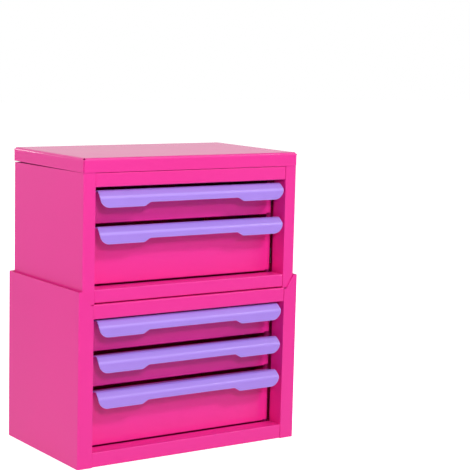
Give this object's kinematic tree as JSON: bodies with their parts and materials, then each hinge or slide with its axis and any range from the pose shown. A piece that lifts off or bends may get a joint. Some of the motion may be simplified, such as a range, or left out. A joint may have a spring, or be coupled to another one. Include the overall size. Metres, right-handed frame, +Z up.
{
  "type": "mini tool chest",
  "caption": "Two-piece steel mini tool chest: a drawer cabinet with a raised rim holds a drawer chest with a lift-up lid; full-width folded pulls on ball-bearing drawers.",
  "frame": {"origin": "on the floor under the middle of the whole object's box", "axes": "+Z up, the drawer fronts face -Y, +X to the right seen from the front"},
  "size_m": [0.27, 0.1616, 0.3153],
  "materials": {
    "pink_paint": "gloss powder coat",
    "lavender_paint": "satin powder coat",
    "zinc_steel": "bright zinc plate",
    "ball_cage": "plain rolled strip with bright balls"
  },
  "bodies": {
    "lower_cabinet": {"lower_left_side": "pink_paint", "lower_right_side": "pink_paint", "lower_back_panel": "pink_paint", "lower_deck": "pink_paint", "lower_base_pan": "pink_paint", "lower_left_uprights": "pink_paint", "lower_right_uprights": "pink_paint", "drawer_5_slide_rails": "zinc_steel", "drawer_4_slide_rails": "zinc_steel", "drawer_3_slide_rails": "zinc_steel"},
    "upper_chest": {"upper_left_side": "pink_paint", "upper_right_side": "pink_paint", "upper_back_panel": "pink_paint", "upper_tray_floor": "pink_paint", "upper_base_pan": "pink_paint", "upper_left_uprights": "pink_paint", "upper_right_uprights": "pink_paint", "hinge_body_leaf": "pink_paint", "hinge_pin": "zinc_steel", "hinge_body_rivets": "zinc_steel", "drawer_2_slide_rails": "zinc_steel", "drawer_1_slide_rails": "zinc_steel"},
    "lid": {"lid_pan": "pink_paint", "hinge_lid_leaf": "pink_paint", "hinge_lid_rivets": "zinc_steel"},
    "drawer_5": {"drawer_5_tray": "pink_paint", "drawer_5_front": "pink_paint", "drawer_5_pull": "lavender_paint", "drawer_5_pull_rivets": "lavender_paint", "drawer_5_runners": "zinc_steel"},
    "drawer_5_cages": {"drawer_5_ball_cages": "ball_cage"},
    "drawer_4": {"drawer_4_tray": "pink_paint", "drawer_4_front": "pink_paint", "drawer_4_pull": "lavender_paint", "drawer_4_pull_rivets": "lavender_paint", "drawer_4_runners": "zinc_steel"},
    "drawer_4_cages": {"drawer_4_ball_cages": "ball_cage"},
    "drawer_3": {"drawer_3_tray": "pink_paint", "drawer_3_front": "pink_paint", "drawer_3_pull": "lavender_paint", "drawer_3_pull_rivets": "lavender_paint", "drawer_3_runners": "zinc_steel"},
    "drawer_3_cages": {"drawer_3_ball_cages": "ball_cage"},
    "drawer_2": {"drawer_2_tray": "pink_paint", "drawer_2_front": "pink_paint", "drawer_2_pull": "lavender_paint", "drawer_2_pull_rivets": "lavender_paint", "drawer_2_runners": "zinc_steel"},
    "drawer_2_cages": {"drawer_2_ball_cages": "ball_cage"},
    "drawer_1": {"drawer_1_tray": "pink_paint", "drawer_1_front": "pink_paint", "drawer_1_pull": "lavender_paint", "drawer_1_pull_rivets": "lavender_paint", "drawer_1_runners": "zinc_steel"},
    "drawer_1_cages": {"drawer_1_ball_cages": "ball_cage"}
  },
  "joints": [
    {"name": "upper_lift", "type": "slide", "parent": "lower_cabinet", "child": "upper_chest", "axis": [0, 0, 1], "range_m": [0, 0.06]},
    {"name": "lid_hinge", "type": "hinge", "parent": "upper_chest", "child": "lid", "pos_m": [0, 0.0789, 0.3002], "axis": [-1, 0, 0], "range_deg": [0, 100]},
    {"name": "drawer_5_slide", "type": "slide", "parent": "lower_cabinet", "child": "drawer_5", "axis": [0, -1, 0], "range_m": [0, 0.085]},
    {"name": "drawer_5_cage_roll", "type": "slide", "parent": "lower_cabinet", "child": "drawer_5_cages", "axis": [0, -1, 0], "range_m": [0, 0.0425]},
    {"name": "drawer_4_slide", "type": "slide", "parent": "lower_cabinet", "child": "drawer_4", "axis": [0, -1, 0], "range_m": [0, 0.085]},
    {"name": "drawer_4_cage_roll", "type": "slide", "parent": "lower_cabinet", "child": "drawer_4_cages", "axis": [0, -1, 0], "range_m": [0, 0.0425]},
    {"name": "drawer_3_slide", "type": "slide", "parent": "lower_cabinet", "child": "drawer_3", "axis": [0, -1, 0], "range_m": [0, 0.085]},
    {"name": "drawer_3_cage_roll", "type": "slide", "parent": "lower_cabinet", "child": "drawer_3_cages", "axis": [0, -1, 0], "range_m": [0, 0.0425]},
    {"name": "drawer_2_slide", "type": "slide", "parent": "upper_chest", "child": "drawer_2", "axis": [0, -1, 0], "range_m": [0, 0.085]},
    {"name": "drawer_2_cage_roll", "type": "slide", "parent": "upper_chest", "child": "drawer_2_cages", "axis": [0, -1, 0], "range_m": [0, 0.0425]},
    {"name": "drawer_1_slide", "type": "slide", "parent": "upper_chest", "child": "drawer_1", "axis": [0, -1, 0], "range_m": [0, 0.085]},
    {"name": "drawer_1_cage_roll", "type": "slide", "parent": "upper_chest", "child": "drawer_1_cages", "axis": [0, -1, 0], "range_m": [0, 0.0425]}
  ],
  "couplings": [
    {"joint": "drawer_5_cage_roll", "follows": "drawer_5_slide", "ratio": 0.5},
    {"joint": "drawer_4_cage_roll", "follows": "drawer_4_slide", "ratio": 0.5},
    {"joint": "drawer_3_cage_roll", "follows": "drawer_3_slide", "ratio": 0.5},
    {"joint": "drawer_2_cage_roll", "follows": "drawer_2_slide", "ratio": 0.5},
    {"joint": "drawer_1_cage_roll", "follows": "drawer_1_slide", "ratio": 0.5}
  ]
}
